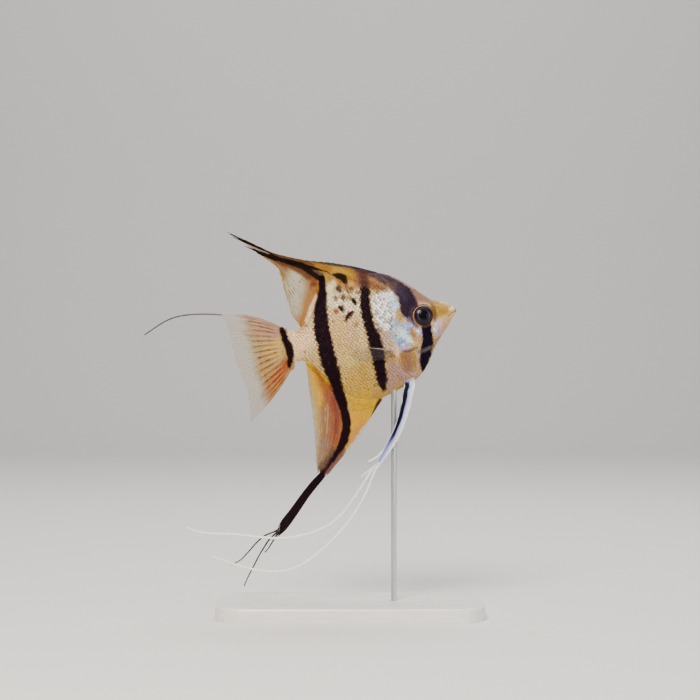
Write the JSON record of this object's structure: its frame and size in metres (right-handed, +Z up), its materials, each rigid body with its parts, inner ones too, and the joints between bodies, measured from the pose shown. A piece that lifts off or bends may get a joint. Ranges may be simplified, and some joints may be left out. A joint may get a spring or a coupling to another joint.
{
  "type": "freshwater angelfish model",
  "caption": "Still, life-size freshwater angelfish with a tall disc body, dark bars and long trailing fins, held nose up on a rod over a flat display base.",
  "frame": {"origin": "centre of the display base's underside, on the floor", "axes": "+X towards the fish's head, +Y towards the fish's left side, +Z up"},
  "size_m": [0.149, 0.064, 0.1679],
  "materials": {
    "skin": "wet scaled skin with a silvery sheen, cream and silver crossed by near-black bars",
    "eye": "glossy dark eye with a thin golden rim",
    "fin": "thin translucent fin membrane over fine rays, brown, gold and dark",
    "clear_fin": "nearly clear fin membrane over pale rays",
    "pelvic_fin": "satin blue-white fin with a navy hind edge",
    "pale_ray": "satin white fin ray",
    "dark_ray": "satin near-black fin ray",
    "base": "satin white acrylic",
    "rod": "fine brushed steel"
  },
  "bodies": {
    "root": {"head": "skin", "lower_jaw": "skin", "gill_cover_left": "skin", "gill_cover_right": "skin", "trunk": "skin", "tail_stalk": "skin", "eye_left": "eye", "eye_right": "eye", "fin_dorsal": "fin", "fin_anal": "fin", "fin_tail": "fin", "fin_pectoral_left": "clear_fin", "fin_pectoral_right": "clear_fin", "fin_pelvic_left": "pelvic_fin", "fin_pelvic_right": "pelvic_fin", "pelvic_filament_left_1": "pale_ray", "pelvic_filament_left_2": "pale_ray", "pelvic_filament_right_1": "pale_ray", "pelvic_filament_right_2": "pale_ray", "anal_streamer": "dark_ray", "anal_filament_upper": "dark_ray", "anal_filament_middle": "dark_ray", "anal_filament_lower": "dark_ray", "tail_filament": "dark_ray", "stand_base": "base", "stand_rod": "rod"}
  },
  "joints": []
}
